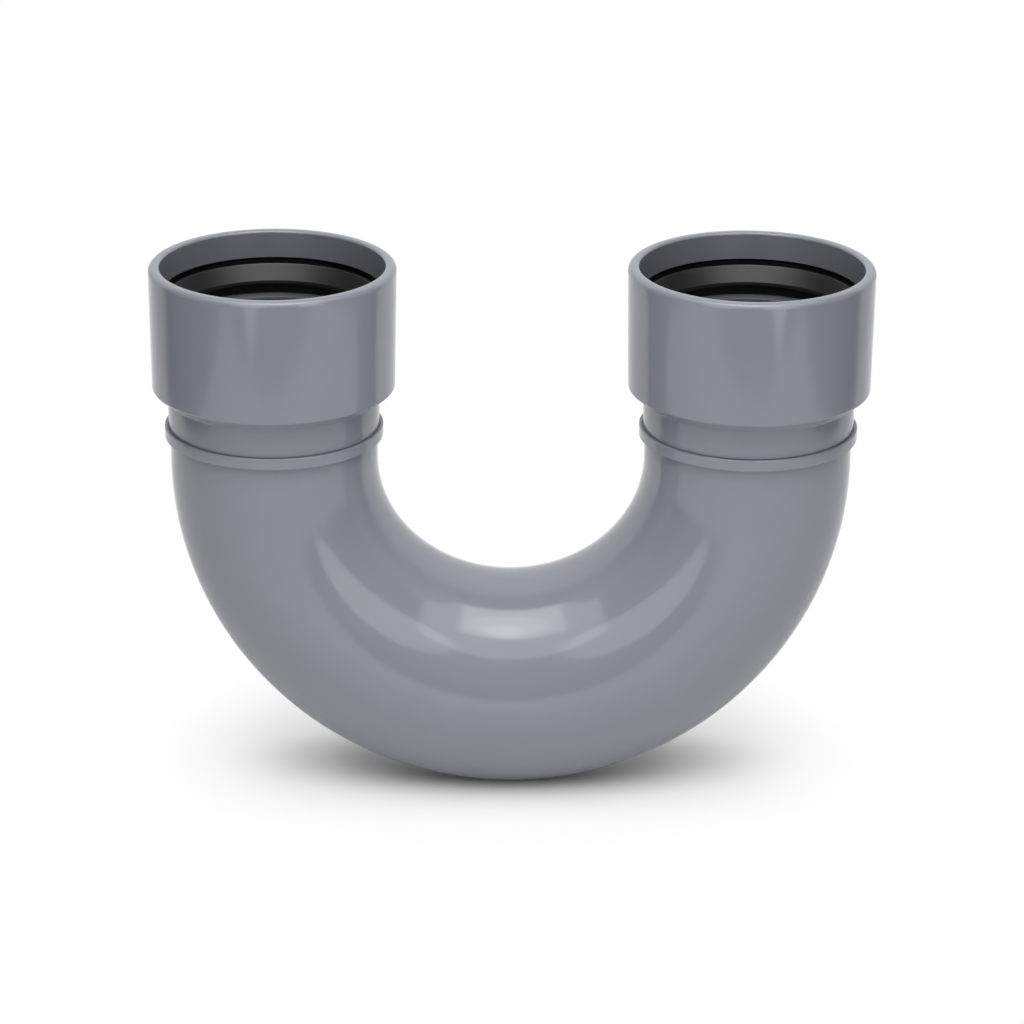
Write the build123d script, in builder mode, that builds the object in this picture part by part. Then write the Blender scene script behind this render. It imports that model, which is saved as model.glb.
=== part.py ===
from build123d import *
import os
from math import cos, radians, sin

# U-trap for a drain line: a moulded 180 degree bend, a moulded ring-seal pipe socket welded on each leg, and
# a rubber lip seal in each socket. The origin is on the floor under the middle of the bend, X runs from the
# left leg to the right leg, Y from front to back, and Z is up. Lengths are in millimetres.

# Drain pipe that a socket takes
pipe_radius = 55.0

# Bend
leg_spacing = 252.0
tube_radius = 55.0
tube_wall = 5.0
invert_swell = 2.8
stub_length = 12.6
collar_step = 3.0
collar_height = 6.2
collar_edge = 0.6
bend_sections = 13

# Welded joint between a leg and its socket
spigot_wall = 2.6
weld_gap = 0.15
spigot_end_gap = 0.5
joint_floor = 0.8
joint_chamfer = 1.0

# Neck, shoulder and barrel of a socket
neck_step = 1.0
neck_height = 15.1
shoulder_height = 6.2
barrel_height = 66.5
barrel_draft = 1.0
groove_wall = 3.8
rim_outer_round = 3.0
rim_inner_round = 1.5
foot_round = 1.0
neck_round = 0.8

# Inside of a socket, from the rim down
mouth_lead = 1.9
mouth_depth = 14.5
throat_gap = 2.5
groove_depth = 6.2
groove_height = 19.9
guide_lead = 2.0
guide_gap = 0.3
pipe_stop_depth = 66.0

# Rubber lip seal
seal_gap = 0.15
seal_top_gap = 0.3
seal_base_width = 3.7
heel_width = 1.8
ridge_drop = 2.7
ridge_step = 0.7
lip_reach = 8.2
lip_grip = 4.0
lip_land = 2.0
lip_tip_width = 2.2
lip_root_height = 15.0
ridge_round = 0.9
lip_round = 0.4
seal_inner_round = 1.0

# Levels and radii that follow
bend_radius = leg_spacing / 2
waterway_radius = tube_radius - tube_wall
bend_centre_z = bend_radius + tube_radius + invert_swell
collar_bottom_z = bend_centre_z + stub_length
joint_z = collar_bottom_z + collar_height
shoulder_z = joint_z + neck_height
barrel_z = shoulder_z + shoulder_height
rim_z = barrel_z + barrel_height
groove_top_z = rim_z - mouth_depth
groove_bottom_z = groove_top_z - groove_height
pipe_stop_z = rim_z - pipe_stop_depth
collar_radius = tube_radius + collar_step
spigot_radius = waterway_radius + spigot_wall
neck_radius = tube_radius + neck_step
guide_radius = pipe_radius + guide_gap
throat_radius = pipe_radius + throat_gap
mouth_radius = throat_radius + mouth_lead
groove_radius = guide_radius + groove_depth
barrel_rim_radius = groove_radius + groove_wall
barrel_foot_radius = barrel_rim_radius - barrel_draft


# Upright half plane through a leg's axis: its own x is the distance from that axis, its own y is the height.
def leg_plane(x):
    return Plane(origin=(x, 0, 0), x_dir=(1, 0, 0), z_dir=(0, -1, 0))


def leg_axis(x):
    return Axis((x, 0, 0), (0, 0, 1))


# The corner of a profile that lies at a given radius and height.
def corner(profile, radius, height):
    return profile.vertices().sort_by_distance((radius, height, 0))[0]


# Plane square to the bend's centre line, at an angle counted from the right leg down to the left leg.
def section_plane(angle):
    turn = radians(angle)
    origin = (bend_radius * cos(turn), 0, bend_centre_z - bend_radius * sin(turn))
    return Plane(origin=origin, x_dir=(0, 1, 0), z_dir=(-sin(turn), 0, -cos(turn)))


# How much the tube has swollen at that angle: nothing at the legs, all of it at the invert.
def swell_at(angle):
    return invert_swell * sin(radians(angle)) ** 2


section_angles = [180 * step / (bend_sections - 1) for step in range(bend_sections)]
legs = {"left": -leg_spacing / 2, "right": leg_spacing / 2}
os.makedirs("parts", exist_ok=True)

# The bend: a swelling tube round half a circle, hollow all the way, with a stub and a collar on each leg.
# The collar's mouth is counterbored for the spigot of the socket.
with BuildPart() as u_bend:
    for angle in section_angles:
        with BuildSketch(section_plane(angle)):
            Circle(tube_radius + swell_at(angle))
    loft()
    for angle in section_angles:
        with BuildSketch(section_plane(angle)):
            Circle(waterway_radius + swell_at(angle))
    loft(mode=Mode.SUBTRACT)
    for x in legs.values():
        with BuildSketch(leg_plane(x)):
            with BuildLine():
                Polyline(
                    (waterway_radius, bend_centre_z),
                    (tube_radius, bend_centre_z),
                    (tube_radius, collar_bottom_z),
                    (collar_radius, collar_bottom_z),
                    (collar_radius, joint_z),
                    (spigot_radius + weld_gap, joint_z),
                    (spigot_radius + weld_gap, bend_centre_z + joint_floor),
                    (waterway_radius, bend_centre_z + joint_floor),
                    close=True,
                )
            make_face()
        revolve(axis=leg_axis(x))
    rings = u_bend.edges().filter_by(GeomType.CIRCLE)
    fillet(rings.filter_by(lambda edge: abs(edge.radius - collar_radius) < 0.01), radius=collar_edge)
u_bend.part.label = "u_bend"
export_step(u_bend.part, "parts/u_bend.step")

# The sockets: the same turned form on both legs. Outside it runs from the spigot in the bend's counterbore
# over the neck and the cone shoulder to the drafted barrel; inside from the tapered mouth past the seal's
# groove and the guide bore to the pipe stop.
for side, x in legs.items():
    with BuildPart() as socket:
        with BuildSketch(leg_plane(x)) as profile:
            with BuildLine():
                Polyline(
                    (waterway_radius, bend_centre_z + joint_floor + spigot_end_gap),
                    (spigot_radius, bend_centre_z + joint_floor + spigot_end_gap),
                    (spigot_radius, joint_z),
                    (neck_radius - joint_chamfer, joint_z),
                    (neck_radius, joint_z + joint_chamfer),
                    (neck_radius, shoulder_z),
                    (barrel_foot_radius, barrel_z),
                    (barrel_rim_radius, rim_z),
                    (mouth_radius, rim_z),
                    (throat_radius, groove_top_z),
                    (groove_radius, groove_top_z),
                    (groove_radius, groove_bottom_z),
                    (guide_radius + guide_lead, groove_bottom_z),
                    (guide_radius, groove_bottom_z - guide_lead),
                    (guide_radius, pipe_stop_z),
                    (waterway_radius, pipe_stop_z),
                    close=True,
                )
            make_face()
            fillet(corner(profile, barrel_rim_radius, rim_z), radius=rim_outer_round)
            fillet(corner(profile, mouth_radius, rim_z), radius=rim_inner_round)
            fillet(corner(profile, barrel_foot_radius, barrel_z), radius=foot_round)
            fillet(corner(profile, neck_radius, shoulder_z), radius=neck_round)
        revolve(axis=leg_axis(x))
    socket.part.label = f"{side}_socket"
    export_step(socket.part, f"parts/{side}_socket.step")

# The seals: a base ring that sits on the groove's floor, a heel that fills the groove's top corner, and a
# lip that slopes down and inwards from a rounded ridge to a short land, which grips the pipe.
seal_radius = groove_radius - seal_gap
base_inner_radius = seal_radius - seal_base_width
heel_radius = seal_radius - heel_width
ridge_z = groove_top_z - ridge_drop
ridge_radius = guide_radius + ridge_step
lip_radius = pipe_radius - lip_grip
land_top_z = ridge_z - lip_reach
land_bottom_z = land_top_z - lip_land
for side, x in legs.items():
    with BuildPart() as seal:
        with BuildSketch(leg_plane(x)) as profile:
            with BuildLine():
                Polyline(
                    (base_inner_radius, groove_bottom_z),
                    (seal_radius, groove_bottom_z),
                    (seal_radius, groove_top_z - seal_top_gap),
                    (heel_radius, groove_top_z - seal_top_gap),
                    (heel_radius, ridge_z),
                    (ridge_radius, ridge_z),
                    (lip_radius, land_top_z),
                    (lip_radius, land_bottom_z),
                    (lip_radius + lip_tip_width, land_bottom_z),
                    (base_inner_radius, groove_bottom_z + lip_root_height),
                    close=True,
                )
            make_face()
            fillet(corner(profile, heel_radius, ridge_z), radius=seal_inner_round)
            fillet(corner(profile, ridge_radius, ridge_z), radius=ridge_round)
            fillet(corner(profile, lip_radius, land_bottom_z), radius=lip_round)
            fillet(corner(profile, lip_radius + lip_tip_width, land_bottom_z), radius=lip_round)
            fillet(corner(profile, base_inner_radius, groove_bottom_z + lip_root_height), radius=seal_inner_round)
        revolve(axis=leg_axis(x))
    seal.part.label = f"{side}_seal"
    export_step(seal.part, f"parts/{side}_seal.step")
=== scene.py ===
from math import atan2, cos, hypot, pi, radians, sin, tan

import bmesh
import bpy
from mathutils import Matrix, Vector


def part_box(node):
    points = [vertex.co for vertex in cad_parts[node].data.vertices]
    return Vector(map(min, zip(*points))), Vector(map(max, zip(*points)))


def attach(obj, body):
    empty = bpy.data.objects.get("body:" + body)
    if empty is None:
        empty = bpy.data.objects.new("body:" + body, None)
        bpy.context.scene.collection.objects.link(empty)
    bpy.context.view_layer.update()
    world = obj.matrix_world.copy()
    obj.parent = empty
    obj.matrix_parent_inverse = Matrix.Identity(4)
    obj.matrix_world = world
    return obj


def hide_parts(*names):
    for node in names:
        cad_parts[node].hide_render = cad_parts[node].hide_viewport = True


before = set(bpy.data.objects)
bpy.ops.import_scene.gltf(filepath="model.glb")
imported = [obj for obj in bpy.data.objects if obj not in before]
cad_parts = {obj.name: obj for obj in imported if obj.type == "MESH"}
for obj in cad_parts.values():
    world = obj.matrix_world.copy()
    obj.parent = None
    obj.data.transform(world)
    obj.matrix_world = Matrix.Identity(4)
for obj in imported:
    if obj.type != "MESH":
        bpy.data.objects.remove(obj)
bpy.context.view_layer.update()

# The bend: one moulding in grey PVC-U. A tube runs round half a circle and swells a little towards its
# lowest point. Each end has a short straight stub and a collar, counterbored for the spigot of a socket.
bend_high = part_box("u_bend")[1]
tube_radius = 0.055
waterway_radius = 0.050
invert_swell = 0.0028
collar_radius = 0.058
collar_height = 0.0062
collar_edge = 0.0006
collar_root = 0.0004
counterbore_radius = 0.05275
counterbore_floor = 0.0008
leg_x = bend_high.x - collar_radius
joint_z = bend_high.z
collar_bottom_z = joint_z - collar_height
bend_centre_z = leg_x + tube_radius + invert_swell
turn_steps = 144
bend_steps = 112
corner_steps = 5
merge_distance = 1e-6
lathe_axis = (0, 0, 1)
bend_axis = (0, 1, 0)


# Draws the cut line of a turned wall on the +X side of a leg, from corners of (radius, height, rounding).
def draw_wall(mesh, x, corners, closed):
    points = [mesh.verts.new((x + radius, 0, height)) for radius, height, rounding in corners]
    ends = points[1:] + points[:1] if closed else points[1:]
    for start, end in zip(points, ends):
        mesh.edges.new((start, end))
    for point, (radius, height, rounding) in zip(points, corners):
        if rounding:
            sides = [edge.other_vert(point).co - point.co for edge in point.link_edges]
            bmesh.ops.bevel(
                mesh, geom=[point], offset=rounding / tan(sides[0].angle(sides[1]) / 2),
                offset_type="OFFSET", affect="VERTICES", segments=corner_steps, profile=0.5, material=-1,
            )


# Turns a cut line once round the axis of its leg.
def turn_wall(mesh, x, corners, closed):
    draw_wall(mesh, x, corners, closed)
    bmesh.ops.spin(
        mesh, geom=mesh.verts[:] + mesh.edges[:], cent=(x, 0, 0), axis=lathe_axis,
        angle=2 * pi, steps=turn_steps, use_merge=True,
    )


# Makes a finished piece of a mesh. Its smooth shading leans on the larger faces, so the walls stay true
# beside their small roundings.
def finish_piece(mesh, name, material):
    bmesh.ops.remove_doubles(mesh, verts=mesh.verts[:], dist=merge_distance)
    bmesh.ops.recalc_face_normals(mesh, faces=mesh.faces[:])
    for face in mesh.faces:
        face.smooth = True
    data = bpy.data.meshes.new(name)
    mesh.to_mesh(data)
    mesh.free()
    data.materials.append(material)
    piece = bpy.data.objects.new(name, data)
    bpy.context.scene.collection.objects.link(piece)
    weighting = piece.modifiers.new("true_faces", "WEIGHTED_NORMAL")
    weighting.weight = 100
    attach(piece, "root")
    return piece


# Grey PVC-U as moulded: a satin gloss, a faint cloudiness of the colour, and a very fine orange peel.
pvc_cloud_light = (0.207, 0.219, 0.254, 1)
pvc_cloud_dark = (0.193, 0.205, 0.239, 1)
pvc_roughness = (0.09, 0.14)
pvc_ior = 1.5
cloud_scale = 22
peel_scale = 450
peel_strength = 0.05
peel_depth = 0.0002

pvc = bpy.data.materials.new("grey_pvc")
pvc.use_nodes = True
nodes, links = pvc.node_tree.nodes, pvc.node_tree.links
shader = nodes["Principled BSDF"]
shader.inputs["IOR"].default_value = pvc_ior
place = nodes.new("ShaderNodeTexCoord")
clouds = nodes.new("ShaderNodeTexNoise")
clouds.inputs["Scale"].default_value = cloud_scale
clouds.inputs["Detail"].default_value = 4
links.new(place.outputs["Object"], clouds.inputs["Vector"])
tint = nodes.new("ShaderNodeMix")
tint.data_type = "RGBA"
tint.inputs["A"].default_value = pvc_cloud_dark
tint.inputs["B"].default_value = pvc_cloud_light
links.new(clouds.outputs["Fac"], tint.inputs["Factor"])
links.new(tint.outputs["Result"], shader.inputs["Base Color"])
gloss = nodes.new("ShaderNodeMapRange")
gloss.inputs["To Min"].default_value, gloss.inputs["To Max"].default_value = pvc_roughness
links.new(clouds.outputs["Fac"], gloss.inputs["Value"])
links.new(gloss.outputs["Result"], shader.inputs["Roughness"])
peel = nodes.new("ShaderNodeTexNoise")
peel.inputs["Scale"].default_value = peel_scale
peel.inputs["Detail"].default_value = 2
links.new(place.outputs["Object"], peel.inputs["Vector"])
bump = nodes.new("ShaderNodeBump")
bump.inputs["Strength"].default_value = peel_strength
bump.inputs["Distance"].default_value = peel_depth
links.new(peel.outputs["Fac"], bump.inputs["Height"])
links.new(bump.outputs["Normal"], shader.inputs["Normal"])

# The bend's outside and its bore: two rings swept round half a circle, which then swell towards the invert.
bend = bmesh.new()
for wall_radius in (tube_radius, waterway_radius):
    ring = bmesh.ops.create_circle(bend, segments=turn_steps, radius=wall_radius)["verts"]
    bmesh.ops.translate(bend, verts=ring, vec=(leg_x, 0, bend_centre_z))
    ring_edges = list({edge for vert in ring for edge in vert.link_edges})
    bmesh.ops.spin(
        bend, geom=ring + ring_edges, cent=(0, 0, bend_centre_z), axis=bend_axis, angle=pi, steps=bend_steps
    )
for vert in bend.verts:
    turn = atan2(bend_centre_z - vert.co.z, vert.co.x)
    middle = Vector((leg_x * cos(turn), 0, bend_centre_z - leg_x * sin(turn)))
    outward = (vert.co - middle).normalized()
    vert.co += outward * invert_swell * sin(turn) ** 2

# On each leg the stub, its collar and the counterbore are turned, then joined to the bend's ends.
for x in (-leg_x, leg_x):
    end = bmesh.new()
    turn_wall(end, x, [
        (tube_radius, bend_centre_z, 0),
        (tube_radius, collar_bottom_z, collar_root),
        (collar_radius, collar_bottom_z, collar_edge),
        (collar_radius, joint_z, collar_edge),
        (counterbore_radius, joint_z, 0),
        (counterbore_radius, bend_centre_z + counterbore_floor, 0),
        (waterway_radius, bend_centre_z + counterbore_floor, 0),
        (waterway_radius, bend_centre_z, 0),
    ], closed=False)
    end_data = bpy.data.meshes.new("bend_end")
    end.to_mesh(end_data)
    end.free()
    bend.from_mesh(end_data)
    bpy.data.meshes.remove(end_data)
bend_piece = finish_piece(bend, "grey_bend", pvc)
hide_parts("u_bend")

# The sockets: two mouldings of one form in the same grey PVC-U. Each has a reduced spigot welded into the
# bend's collar, a neck, a cone shoulder and a drafted barrel with a rounded rim. Inside are a tapered mouth,
# the seal's groove, the guide bore and the stop that the pipe meets.
socket_low, socket_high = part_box("left_socket")
rim_z = socket_high.z
spigot_bottom_z = socket_low.z
spigot_radius = 0.0526
neck_radius = 0.056
joint_chamfer = 0.0002
shoulder_z = joint_z + 0.0151
barrel_z = shoulder_z + 0.0062
barrel_foot_radius = 0.0643
barrel_rim_radius = 0.0653
mouth_radius = 0.0594
throat_radius = 0.0575
groove_radius = 0.0615
guide_radius = 0.0553
guide_lead = 0.002
groove_top_z = rim_z - 0.0145
groove_bottom_z = groove_top_z - 0.0199
pipe_stop_z = rim_z - 0.066
neck_round = 0.0008
foot_round = 0.0015
rim_outer_round = 0.003
rim_inner_round = 0.0015
fine_edge = 0.0003

# The tapered mouth and the guide bore are painted darker than the outside. This is painted shade for the shade
# deep inside the socket. They also get a higher roughness, so they look duller. The painted shade starts just
# below the rim's inner rounding.
bore_painted_shade = 0.55
bore_roughness = (0.30, 0.40)
painted_shade_top_z = rim_z - 0.0014
painted_shade_bore_pvc = pvc.copy()
painted_shade_bore_pvc.name = "grey_pvc_bore_painted_shade"
bore_nodes = painted_shade_bore_pvc.node_tree.nodes
for cloud in ("A", "B"):
    shade = bore_nodes[tint.name].inputs[cloud]
    shade.default_value = [bore_painted_shade * part for part in shade.default_value[:3]] + [1]
bore_gloss = bore_nodes[gloss.name].inputs
bore_gloss["To Min"].default_value, bore_gloss["To Max"].default_value = bore_roughness

for side, x in (("left", -leg_x), ("right", leg_x)):
    socket = bmesh.new()
    turn_wall(socket, x, [
        (waterway_radius, spigot_bottom_z, 0),
        (spigot_radius, spigot_bottom_z, 0),
        (spigot_radius, joint_z, 0),
        (neck_radius - joint_chamfer, joint_z, 0),
        (neck_radius, joint_z + joint_chamfer, 0),
        (neck_radius, shoulder_z, neck_round),
        (barrel_foot_radius, barrel_z, foot_round),
        (barrel_rim_radius, rim_z, rim_outer_round),
        (mouth_radius, rim_z, rim_inner_round),
        (throat_radius, groove_top_z, fine_edge),
        (groove_radius, groove_top_z, 0),
        (groove_radius, groove_bottom_z, 0),
        (guide_radius + guide_lead, groove_bottom_z, fine_edge),
        (guide_radius, groove_bottom_z - guide_lead, fine_edge),
        (guide_radius, pipe_stop_z, fine_edge),
        (waterway_radius, pipe_stop_z, fine_edge),
    ], closed=True)
    # Faces of the mouth and the guide bore take the material with the painted shade.
    for face in socket.faces:
        spot = face.calc_center_median()
        in_mouth = groove_top_z < spot.z < painted_shade_top_z
        in_guide = pipe_stop_z < spot.z < groove_bottom_z - guide_lead
        if (in_mouth or in_guide) and hypot(spot.x - x, spot.y) < mouth_radius:
            face.material_index = 1
    socket_piece = finish_piece(socket, f"grey_{side}_socket", pvc)
    socket_piece.data.materials.append(painted_shade_bore_pvc)
    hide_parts(f"{side}_socket")

# The lip seals: one moulded ring of black rubber in each socket's groove. A base ring and a heel hold it in
# the groove, and the lip slopes down and inwards from a rounded ridge to the short land that grips the pipe.
seal_radius = 0.06135
base_inner_radius = 0.05765
heel_radius = 0.05955
heel_top_z = groove_top_z - 0.0003
ridge_z = groove_top_z - 0.0027
ridge_radius = 0.0560
lip_radius = 0.0510
land_top_z = ridge_z - 0.0082
land_bottom_z = land_top_z - 0.002
lip_tip_width = 0.0022
lip_root_z = groove_bottom_z + 0.015
seal_edge = 0.0003
heel_inner_round = 0.001
ridge_round = 0.0009
lip_round = 0.0004
lip_root_round = 0.001

# The rubber is a semi-matt black with fine mould lines that run round the ring.
rubber_light = (0.014, 0.014, 0.015, 1)
rubber_dark = (0.010, 0.010, 0.011, 1)
rubber_roughness = (0.36, 0.46)
rubber_ior = 1.5
mould_line_scale = 900
mould_line_stretch = (0.04, 0.04, 1)
mould_line_strength = 0.15
mould_line_depth = 0.0001

rubber = bpy.data.materials.new("black_rubber")
rubber.use_nodes = True
nodes, links = rubber.node_tree.nodes, rubber.node_tree.links
shader = nodes["Principled BSDF"]
shader.inputs["IOR"].default_value = rubber_ior
place = nodes.new("ShaderNodeTexCoord")
around = nodes.new("ShaderNodeVectorMath")
around.operation = "MULTIPLY"
around.inputs[1].default_value = mould_line_stretch
links.new(place.outputs["Object"], around.inputs[0])
mould_lines = nodes.new("ShaderNodeTexNoise")
mould_lines.inputs["Scale"].default_value = mould_line_scale
mould_lines.inputs["Detail"].default_value = 3
links.new(around.outputs["Vector"], mould_lines.inputs["Vector"])
gloss = nodes.new("ShaderNodeMapRange")
gloss.inputs["To Min"].default_value, gloss.inputs["To Max"].default_value = rubber_roughness
links.new(mould_lines.outputs["Fac"], gloss.inputs["Value"])
links.new(gloss.outputs["Result"], shader.inputs["Roughness"])
tint = nodes.new("ShaderNodeMix")
tint.data_type = "RGBA"
tint.inputs["A"].default_value = rubber_dark
tint.inputs["B"].default_value = rubber_light
links.new(mould_lines.outputs["Fac"], tint.inputs["Factor"])
links.new(tint.outputs["Result"], shader.inputs["Base Color"])
bump = nodes.new("ShaderNodeBump")
bump.inputs["Strength"].default_value = mould_line_strength
bump.inputs["Distance"].default_value = mould_line_depth
links.new(mould_lines.outputs["Fac"], bump.inputs["Height"])
links.new(bump.outputs["Normal"], shader.inputs["Normal"])

# The heel, outside the ridge at the top of the groove, is painted a deeper black and made matt with less
# specular. This is painted shade, because the top of the groove lies in shade.
heel_painted_shade_pale = (0.004, 0.004, 0.004, 1)
heel_painted_shade_deep = (0.003, 0.003, 0.003, 1)
heel_painted_shade_specular = 0.1
heel_shade_radius = ridge_radius + 0.0004
heel_shade_z = ridge_z - 0.0003
heel_painted_shade_rubber = rubber.copy()
heel_painted_shade_rubber.name = "black_rubber_heel_painted_shade"
heel_nodes = heel_painted_shade_rubber.node_tree.nodes
heel_nodes[tint.name].inputs["A"].default_value = heel_painted_shade_deep
heel_nodes[tint.name].inputs["B"].default_value = heel_painted_shade_pale
heel_nodes[shader.name].inputs["Specular IOR Level"].default_value = heel_painted_shade_specular

for side, x in (("left", -leg_x), ("right", leg_x)):
    seal = bmesh.new()
    turn_wall(seal, x, [
        (base_inner_radius, groove_bottom_z, seal_edge),
        (seal_radius, groove_bottom_z, seal_edge),
        (seal_radius, heel_top_z, seal_edge),
        (heel_radius, heel_top_z, seal_edge),
        (heel_radius, ridge_z, heel_inner_round),
        (ridge_radius, ridge_z, ridge_round),
        (lip_radius, land_top_z, seal_edge),
        (lip_radius, land_bottom_z, lip_round),
        (lip_radius + lip_tip_width, land_bottom_z, lip_round),
        (base_inner_radius, lip_root_z, lip_root_round),
    ], closed=True)
    # Faces of the heel take the rubber with the painted shade.
    for face in seal.faces:
        spot = face.calc_center_median()
        if spot.z > heel_shade_z and hypot(spot.x - x, spot.y) > heel_shade_radius:
            face.material_index = 1
    seal_piece = finish_piece(seal, f"black_{side}_seal", rubber)
    seal_piece.data.materials.append(heel_painted_shade_rubber)
    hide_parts(f"{side}_seal")

# The studio: a sheet of white paper flat under the part, in a dim room with a pale back wall. Soft boxes hang
# overhead and stand left and right of the lens.
paper_half_width = 0.72
paper_front_y = -0.68
paper_back_y = 1.9

sheet = bmesh.new()
front = [sheet.verts.new((x, paper_front_y, 0)) for x in (-paper_half_width, paper_half_width)]
run = bmesh.ops.extrude_edge_only(sheet, edges=[sheet.edges.new(front)])
back_verts = [vert for vert in run["geom"] if isinstance(vert, bmesh.types.BMVert)]
bmesh.ops.translate(sheet, verts=back_verts, vec=(0, paper_back_y - paper_front_y, 0))
bmesh.ops.recalc_face_normals(sheet, faces=sheet.faces[:])
sheet_data = bpy.data.meshes.new("paper_sheet")
sheet.to_mesh(sheet_data)
sheet.free()
sheet_piece = bpy.data.objects.new("paper_sheet", sheet_data)
bpy.context.scene.collection.objects.link(sheet_piece)

# The paper is matt white. To the camera it also fades to a pure white away from the part by a painted glow:
# first over a few centimetres round the line of contact, where the dark of the shadow stays, then over the
# rest of the shadow. This glow is painted light that lightens the floor's shadow for the camera. Glossy
# surfaces see only the distant paper as pure white.
paper_white = (0.79, 0.79, 0.79, 1)
paper_roughness = 0.9
contact_squeeze = (0.28, 0.8, 1)
contact_shift = (0, -0.012, 0)
near_start, near_end, near_share = 0.020, 0.046, 0.55
far_start, far_end, far_share = 0.11, 0.21, 0.45
distant_start, distant_end = 0.30, 0.50

paper = bpy.data.materials.new("white_paper")
paper.use_nodes = True
nodes, links = paper.node_tree.nodes, paper.node_tree.links
shader = nodes["Principled BSDF"]
shader.inputs["Base Color"].default_value = paper_white
shader.inputs["Roughness"].default_value = paper_roughness
shader.inputs["Specular IOR Level"].default_value = 0
place = nodes.new("ShaderNodeTexCoord")
squeeze = nodes.new("ShaderNodeVectorMath")
squeeze.operation = "MULTIPLY_ADD"
squeeze.inputs[1].default_value = contact_squeeze
squeeze.inputs[2].default_value = contact_shift
links.new(place.outputs["Object"], squeeze.inputs[0])
beside = nodes.new("ShaderNodeVectorMath")
beside.operation = "LENGTH"
links.new(squeeze.outputs["Vector"], beside.inputs[0])
near_veil = nodes.new("ShaderNodeMapRange")
near_veil.interpolation_type = "SMOOTHSTEP"
near_veil.inputs["From Min"].default_value = near_start
near_veil.inputs["From Max"].default_value = near_end
near_veil.inputs["To Max"].default_value = near_share
links.new(beside.outputs["Value"], near_veil.inputs["Value"])
reach = nodes.new("ShaderNodeVectorMath")
reach.operation = "LENGTH"
links.new(place.outputs["Object"], reach.inputs[0])
far_veil = nodes.new("ShaderNodeMapRange")
far_veil.interpolation_type = "SMOOTHSTEP"
far_veil.inputs["From Min"].default_value = far_start
far_veil.inputs["From Max"].default_value = far_end
far_veil.inputs["To Max"].default_value = far_share
links.new(reach.outputs["Value"], far_veil.inputs["Value"])
# The two veils add up to the share of painted glow that lightens the shadow for the camera.
veil = nodes.new("ShaderNodeMath")
links.new(near_veil.outputs["Result"], veil.inputs[0])
links.new(far_veil.outputs["Result"], veil.inputs[1])
rays = nodes.new("ShaderNodeLightPath")
distant = nodes.new("ShaderNodeMapRange")
distant.interpolation_type = "SMOOTHSTEP"
distant.inputs["From Min"].default_value = distant_start
distant.inputs["From Max"].default_value = distant_end
links.new(reach.outputs["Value"], distant.inputs["Value"])
mirrored = nodes.new("ShaderNodeMath")
mirrored.operation = "MULTIPLY"
links.new(rays.outputs["Is Glossy Ray"], mirrored.inputs[0])
links.new(distant.outputs["Result"], mirrored.inputs[1])
seen = nodes.new("ShaderNodeMath")
seen.operation = "MULTIPLY_ADD"
links.new(rays.outputs["Is Camera Ray"], seen.inputs[0])
links.new(veil.outputs[0], seen.inputs[1])
links.new(mirrored.outputs[0], seen.inputs[2])
glow = nodes.new("ShaderNodeEmission")
blend = nodes.new("ShaderNodeMixShader")
links.new(seen.outputs[0], blend.inputs["Fac"])
links.new(shader.outputs["BSDF"], blend.inputs[1])
links.new(glow.outputs["Emission"], blend.inputs[2])
links.new(blend.outputs["Shader"], nodes["Material Output"].inputs["Surface"])
sheet_data.materials.append(paper)

# The room is dim in front and at the sides, and its back wall is pale. The camera sees it all as white.
dim_room = 0.02
back_wall = 0.9
wall_start, wall_end = 0.35, 0.50
seen_room = 1.0

world = bpy.data.worlds.new("room")
bpy.context.scene.world = world
world.use_nodes = True
nodes, links = world.node_tree.nodes, world.node_tree.links
air = nodes["Background"]
air.inputs["Color"].default_value = (1, 1, 1, 1)
toward = nodes.new("ShaderNodeTexCoord")
parts = nodes.new("ShaderNodeSeparateXYZ")
links.new(toward.outputs["Generated"], parts.inputs["Vector"])
wall_level = nodes.new("ShaderNodeMapRange")
wall_level.inputs["From Min"].default_value = wall_start
wall_level.inputs["From Max"].default_value = wall_end
wall_level.inputs["To Min"].default_value = dim_room
wall_level.inputs["To Max"].default_value = back_wall
links.new(parts.outputs["Y"], wall_level.inputs["Value"])
rays = nodes.new("ShaderNodeLightPath")
level = nodes.new("ShaderNodeMapRange")
level.inputs["To Max"].default_value = seen_room
links.new(rays.outputs["Is Camera Ray"], level.inputs["Value"])
links.new(wall_level.outputs["Result"], level.inputs["To Min"])
links.new(level.outputs["Result"], air.inputs["Strength"])

# The soft boxes: area lamps that the camera doesn't see. Warm light loses blue, and a smaller share of green.
warm_green = 0.4


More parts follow.
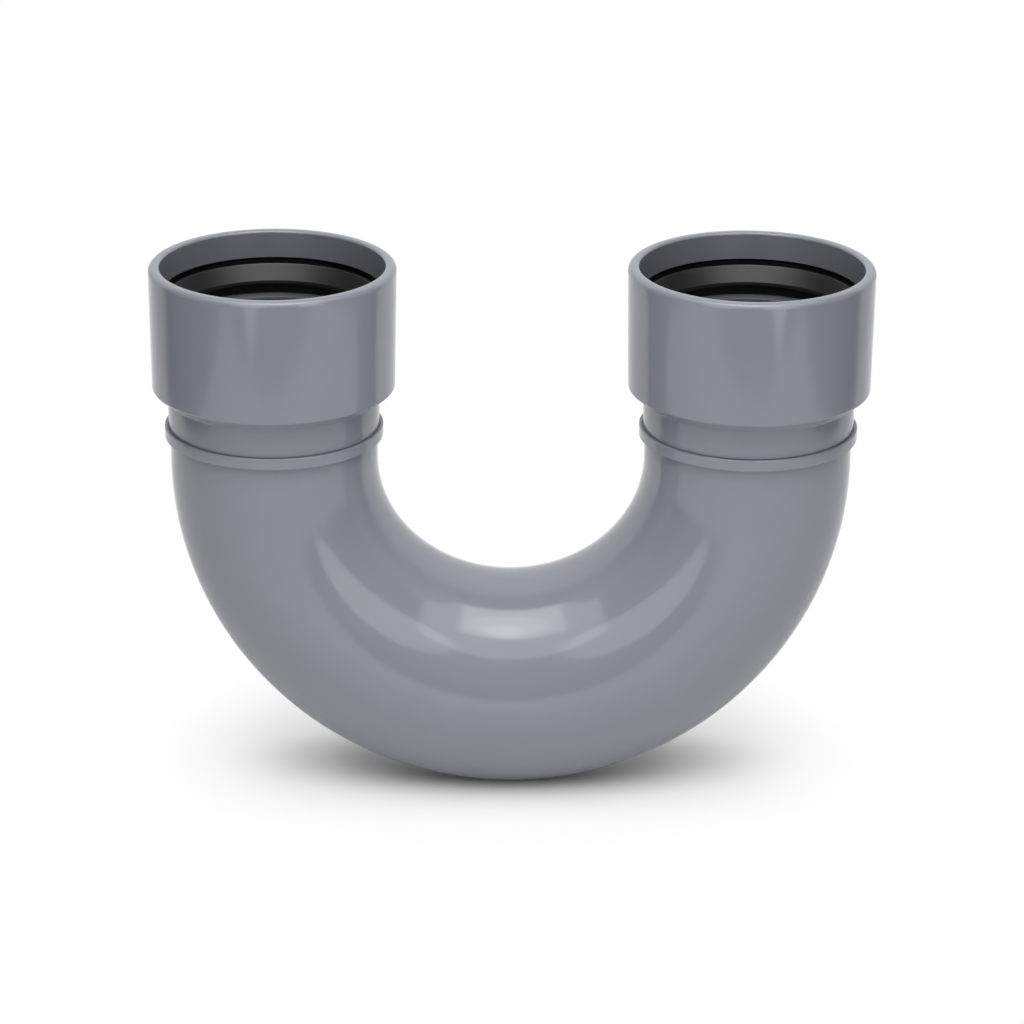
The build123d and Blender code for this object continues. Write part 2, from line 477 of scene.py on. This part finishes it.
# Hangs a soft box that faces a point, given its brightness as a multiple of white and the warmth of its light.
def soft_box(name, shape, place, facing, width, height, brightness, warmth=0.0):
    lamp = bpy.data.lights.new(name, "AREA")
    lamp.shape = shape
    lamp.size = width
    lamp.size_y = height
    lamp.color = (1, 1 - warm_green * warmth, 1 - warmth)
    area = width * height * (pi / 4 if shape == "ELLIPSE" else 1)
    lamp.energy = brightness * pi * area
    box = bpy.data.objects.new(name, lamp)
    box.location = place
    box.rotation_euler = (Vector(facing) - Vector(place)).to_track_quat("-Z", "Y").to_euler()
    box.visible_camera = False
    bpy.context.scene.collection.objects.link(box)


soft_box("wide_box", "RECTANGLE", (0, -0.98, 1.65), (0, -0.98, 0), 2.7, 2.2, 1.85)
soft_box("overhead_box", "RECTANGLE", (0, -0.43, 1.64), (0, -0.43, 0), 1.3, 1.02, 2.3)
soft_box("middle_box", "ELLIPSE", (0.06, -0.52, 1.63), (0.06, -0.52, 0), 1.0, 0.80, 1.3, 0.05)
soft_box("hot_box", "ELLIPSE", (0.08, -0.64, 1.62), (0.08, -0.64, 0), 0.5, 0.42, 1.7, 0.10)
soft_box("left_box", "ELLIPSE", (-0.33, -0.68, 0.41), (0, 0, 0.41), 0.40, 0.76, 1.7, 0.04)
soft_box("right_box", "ELLIPSE", (0.38, -0.66, 0.41), (0, 0, 0.41), 0.40, 0.76, 2.0, 0.04)

# The camera, low in front of the part with a long lens.
aim = Vector((0.00075, 0, 0.1517))
camera_distance = 2.411
camera_elevation = radians(20.892)
camera_azimuth = radians(-0.755)
camera_roll = radians(0.444)
sensor_width = 36
focal_length = 158.19

lens = bpy.data.cameras.new("camera")
lens.sensor_width = sensor_width
lens.lens = focal_length
camera = bpy.data.objects.new("camera", lens)
back = Vector((
    sin(camera_azimuth) * cos(camera_elevation),
    -cos(camera_azimuth) * cos(camera_elevation),
    sin(camera_elevation),
))
camera.matrix_world = (
    Matrix.Translation(aim + camera_distance * back)
    @ back.to_track_quat("Z", "Y").to_matrix().to_4x4()
    @ Matrix.Rotation(camera_roll, 4, "Z")
)
bpy.context.scene.collection.objects.link(camera)
bpy.context.scene.camera = camera
bpy.context.scene.view_settings.view_transform = "Standard"
